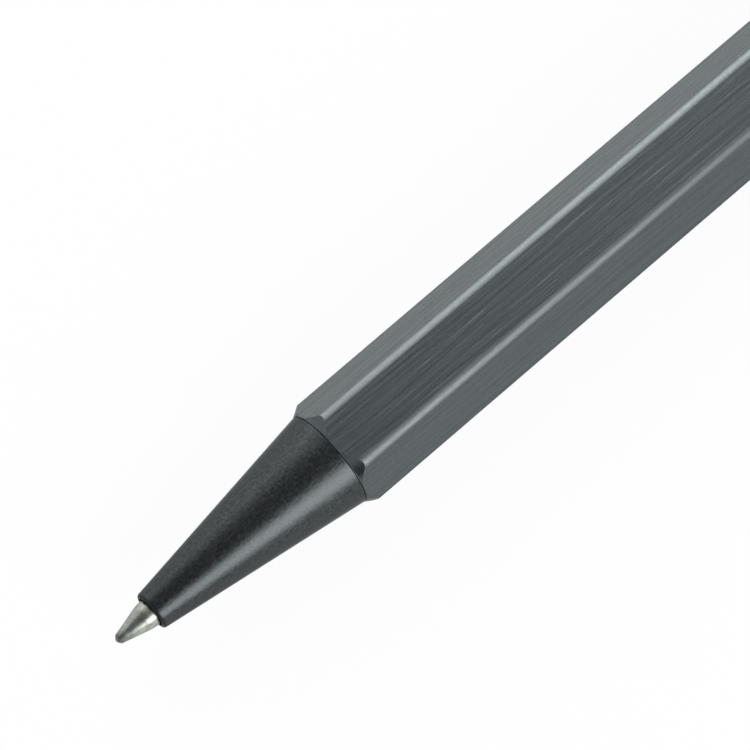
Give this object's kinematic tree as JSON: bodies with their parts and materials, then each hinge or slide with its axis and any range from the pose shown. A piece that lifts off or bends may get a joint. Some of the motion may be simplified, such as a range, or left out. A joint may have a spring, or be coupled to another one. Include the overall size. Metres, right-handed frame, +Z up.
{
  "type": "retractable ballpoint pen",
  "caption": "Twist-action ballpoint pen with a brushed dark hexagonal barrel, a satin black nose cone and knob, a pocket clip and a refill that moves in and out.",
  "frame": {"origin": "on the surface that the pen lies on, under the middle of its length", "axes": "+X along the pen from the writing point to the tail knob, +Z up from the flat it lies on to the clip"},
  "size_m": [0.134, 0.0094, 0.0101],
  "materials": {
    "brushed_gunmetal": "dark grey anodised, brushed lengthwise",
    "satin_black": "fine-grained satin black lacquer",
    "nickel_silver": "turned and polished",
    "carbide": "polished hard metal",
    "neck_brass": "turned, bright",
    "refill_steel": "drawn tube, satin",
    "ink": "dark blue paste",
    "plug_plastic": "moulded, matt",
    "spring_steel": "drawn wire",
    "acetal": "natural white, machined",
    "pin_steel": "ground",
    "drive_brass": "machined",
    "ring_rubber": "matt black",
    "plated_steel": "dark plated, satin"
  },
  "bodies": {
    "barrel": {"barrel": "brushed_gunmetal", "nose_cone": "satin_black", "return_spring": "spring_steel", "guide_sleeve": "drive_brass", "thrust_washer": "acetal", "tail_bush": "plated_steel", "clip": "plated_steel"},
    "knob": {"tail_knob": "satin_black", "cam_tube": "drive_brass", "friction_ring": "ring_rubber"},
    "pusher": {"pusher": "acetal", "cross_pin": "pin_steel"},
    "refill": {"refill_point": "nickel_silver", "refill_neck": "neck_brass", "refill_tube": "refill_steel", "refill_ink": "ink", "refill_plug": "plug_plastic"},
    "ball": {"refill_ball": "carbide"}
  },
  "joints": [
    {"name": "knob_twist", "type": "hinge", "parent": "barrel", "child": "knob", "pos_m": [0.05804, 0, 0.00415], "axis": [1, 0, 0], "range_deg": [0, 180]},
    {"name": "pusher_slide", "type": "slide", "parent": "barrel", "child": "pusher", "axis": [1, 0, 0], "range_m": [0, 0.0055]},
    {"name": "refill_slide", "type": "slide", "parent": "barrel", "child": "refill", "axis": [1, 0, 0], "range_m": [0, 0.0055], "deforming": ["return_spring"]},
    {"name": "ball_roll", "type": "hinge", "parent": "refill", "child": "ball", "pos_m": [-0.06661, 0, 0.00415], "axis": [0, 1, 0], "continuous": true}
  ],
  "couplings": [
    {"joint": "knob_twist", "follows": "refill_slide", "rad_per_m": 571.2},
    {"joint": "pusher_slide", "follows": "refill_slide", "ratio": 1}
  ]
}
